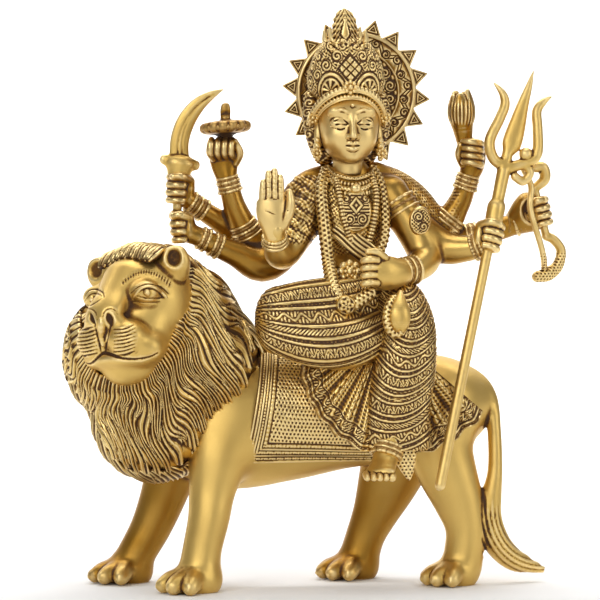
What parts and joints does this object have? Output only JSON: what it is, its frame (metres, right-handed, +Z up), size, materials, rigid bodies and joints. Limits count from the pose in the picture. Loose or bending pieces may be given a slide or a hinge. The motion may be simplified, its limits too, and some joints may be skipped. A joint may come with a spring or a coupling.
{
  "type": "brass durga figure",
  "caption": "Cast brass group of an armed goddess seated on a walking lion, with rayed halo, trident, sabre and bow, standing on the lion's paws.",
  "frame": {"origin": "on the resting surface, below the middle of the group's bounding box", "axes": "+Z up from the paws to the crown, -X the way the lion walks, -Y to the viewer in front of the goddess"},
  "size_m": [0.359, 0.1222, 0.415],
  "materials": {
    "lion_brass": "cast and hand-chased brass, satin, dark patina in the grooves and speckled on the far legs",
    "goddess_brass": "cast and hand-chased brass, satin to polished, dark patina in the grooves",
    "halo_brass": "cast brass, polished rim, dark patina between the scrolls",
    "trident_brass": "brass, polished",
    "sabre_brass": "brass, polished",
    "bow_brass": "brass, satin"
  },
  "bodies": {
    "root": {"lion": "lion_brass", "goddess": "goddess_brass", "halo": "halo_brass", "trident": "trident_brass", "sabre": "sabre_brass", "bow": "bow_brass"}
  },
  "joints": []
}
